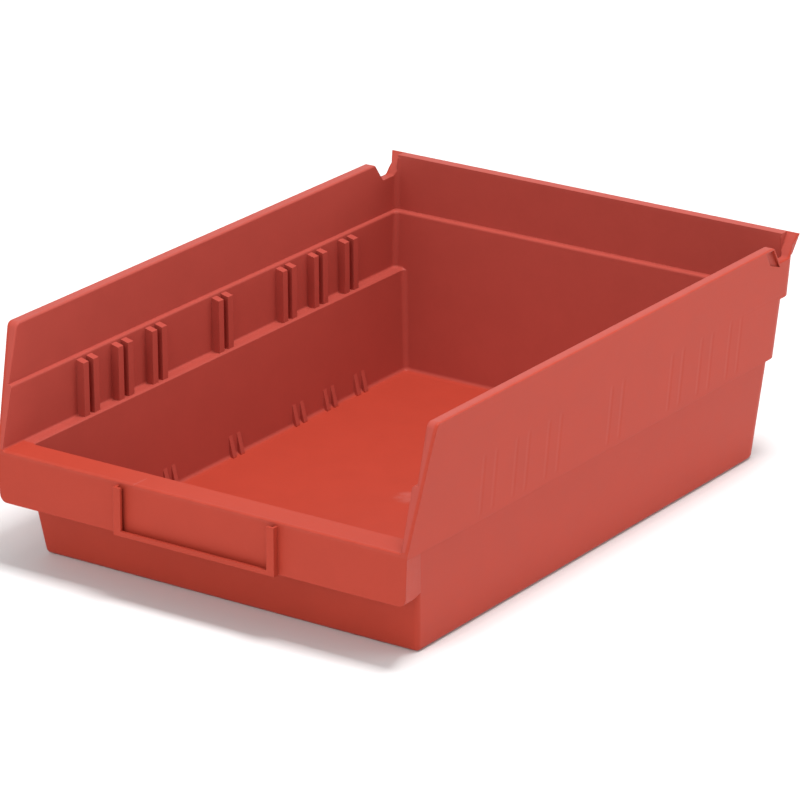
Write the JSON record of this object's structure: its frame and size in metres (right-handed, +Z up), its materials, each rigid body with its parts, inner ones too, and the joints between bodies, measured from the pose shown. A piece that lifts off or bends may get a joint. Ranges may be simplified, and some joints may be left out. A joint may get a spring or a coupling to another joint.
{
  "type": "shelf bin",
  "caption": "Open-front moulded storage bin with stepped, drafted walls, divider slots inside, a label holder on the front skirt and a hanging lip at the back.",
  "frame": {"origin": "under the middle of the bounding box, on the surface that the bin stands on", "axes": "+Z up, the open front and its label holder towards -Y, the hanging lip towards +Y"},
  "size_m": [0.2126, 0.2972, 0.102],
  "materials": {
    "red_plastic": "satin, moulded in the colour"
  },
  "bodies": {
    "root": {"shelf_bin": "red_plastic"}
  },
  "joints": []
}
